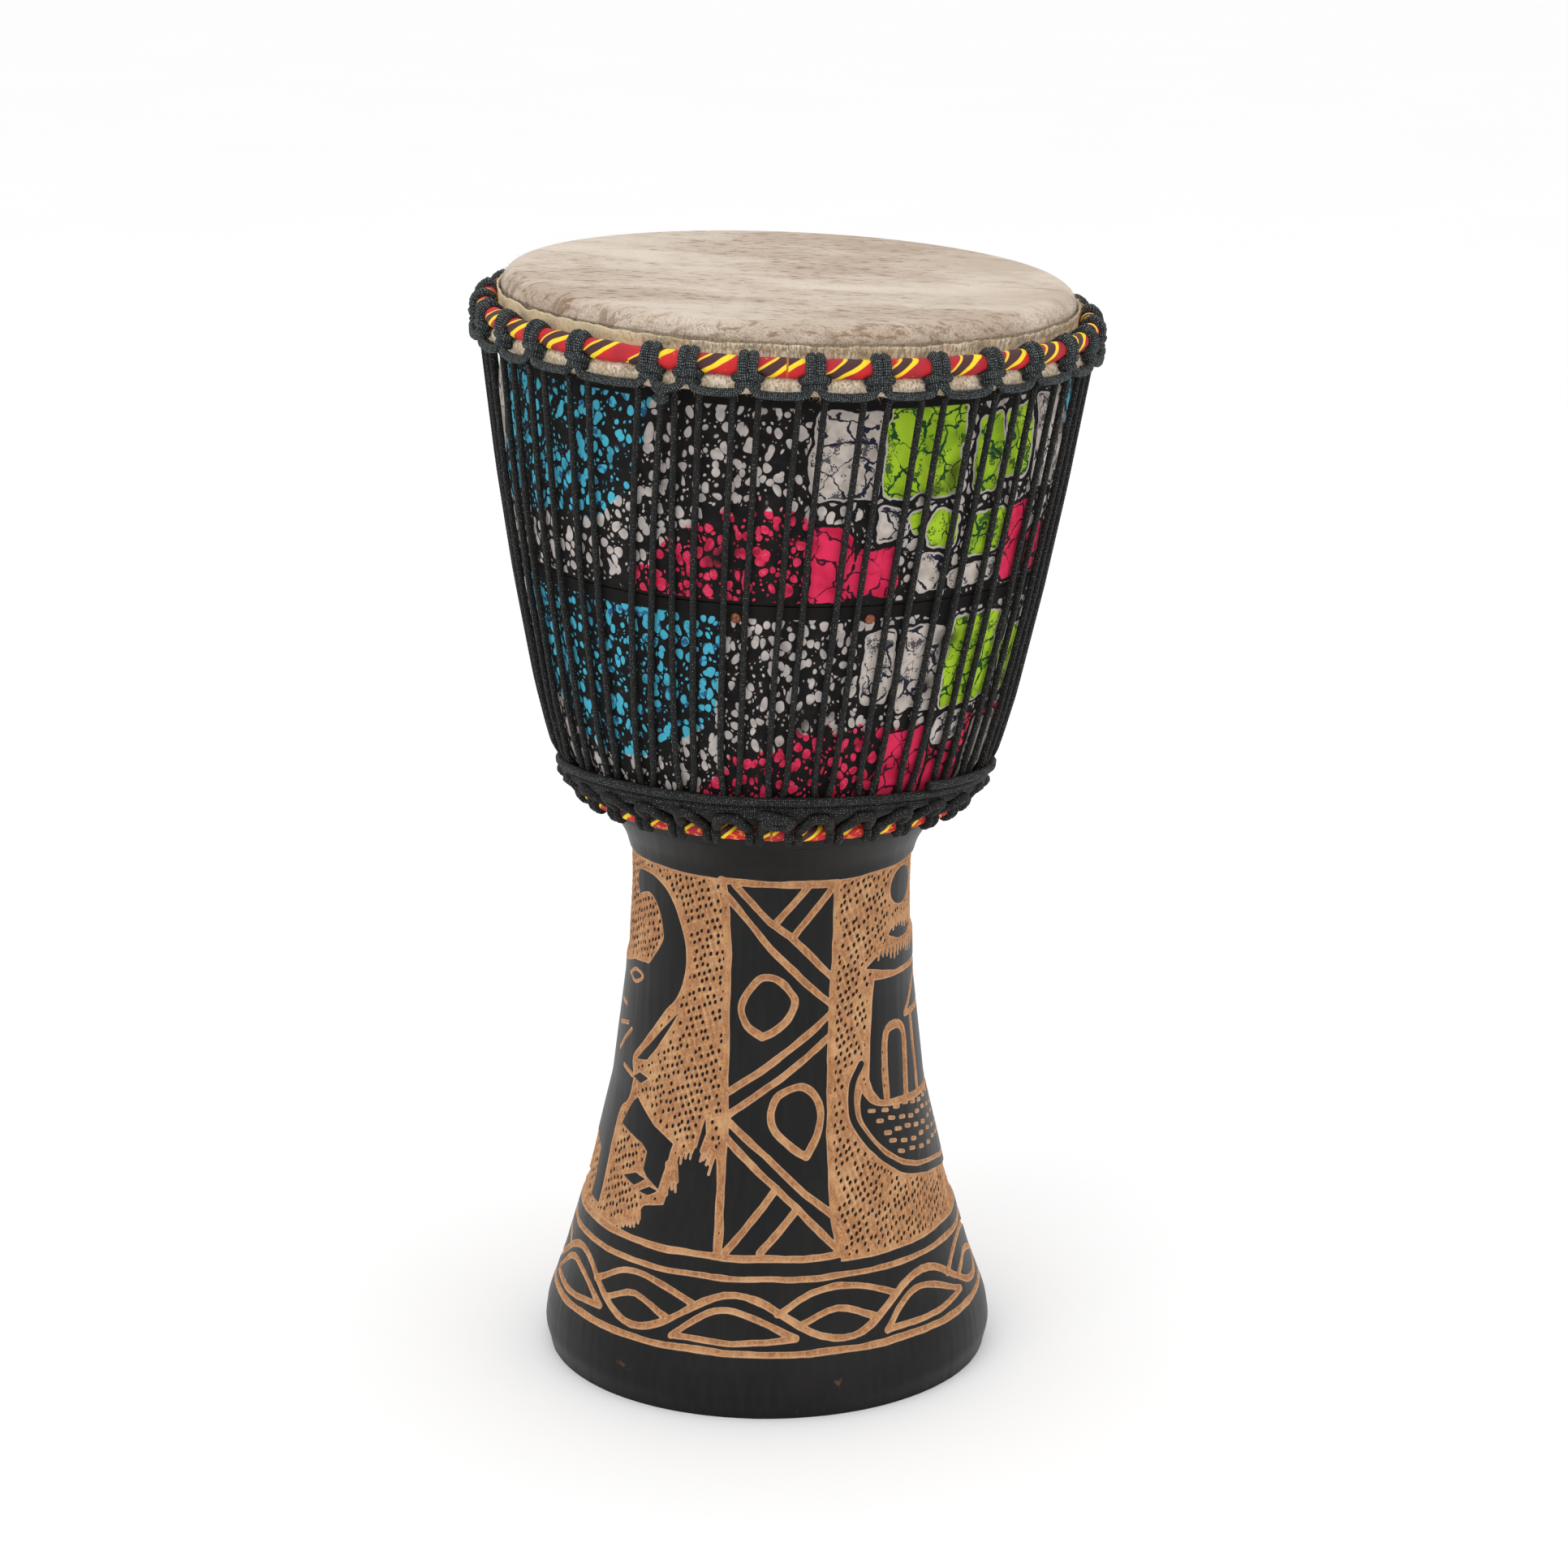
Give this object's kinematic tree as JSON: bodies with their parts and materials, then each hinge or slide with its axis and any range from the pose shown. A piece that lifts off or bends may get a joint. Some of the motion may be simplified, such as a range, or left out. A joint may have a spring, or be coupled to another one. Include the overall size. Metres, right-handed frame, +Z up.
{
  "type": "djembe",
  "caption": "Rope-tuned goblet hand drum with a goatskin head, cloth-wrapped rings, vertical lacing, printed bowl cloth and a carved black wooden stem.",
  "frame": {"origin": "middle of the bounding box on the floor: the drum stands on its foot at z = 0, and the crown ring's middle is over the origin", "axes": "+Z up through the drum, whose axis leans 2.4 degrees towards +X at the head; -Y is the front"},
  "size_m": [0.3377, 0.338, 0.6059],
  "materials": {
    "black_wood": "satin black paint over hardwood, carved lines cut down to bare tan wood",
    "goatskin": "dry shaved goatskin with short hair left at the edge",
    "ring_steel": "bare welded rod",
    "red_wrap": "printed cotton strip, red with yellow and dark stripes",
    "rope": "black braided low-stretch cord",
    "print_cloth": "printed cotton, black ground with blue, grey, green and pink shapes",
    "tack_iron": "rusted dome head"
  },
  "bodies": {
    "drum": {"shell": "black_wood", "skin": "goatskin", "lacing_rope": "rope", "tie_off_rope": "rope", "bottom_loops": "rope", "bottom_ring": "ring_steel", "bottom_ring_cloth": "red_wrap", "bowl_cloth_upper": "print_cloth", "bowl_cloth_lower": "print_cloth", "cloth_tack_01": "tack_iron", "cloth_tack_02": "tack_iron", "cloth_tack_03": "tack_iron", "cloth_tack_04": "tack_iron", "cloth_tack_05": "tack_iron", "cloth_tack_06": "tack_iron", "cloth_tack_07": "tack_iron", "cloth_tack_08": "tack_iron", "cloth_tack_09": "tack_iron", "cloth_tack_10": "tack_iron"},
    "ring_set": {"flesh_ring": "ring_steel", "crown_ring": "ring_steel", "crown_ring_cloth": "red_wrap", "top_loops": "rope"}
  },
  "joints": [
    {"name": "tuning_travel", "type": "slide", "parent": "drum", "child": "ring_set", "axis": [-0.0405, 0, -0.9992], "range_m": [0, 0.005], "deforming": ["skin", "lacing_rope"]}
  ]
}
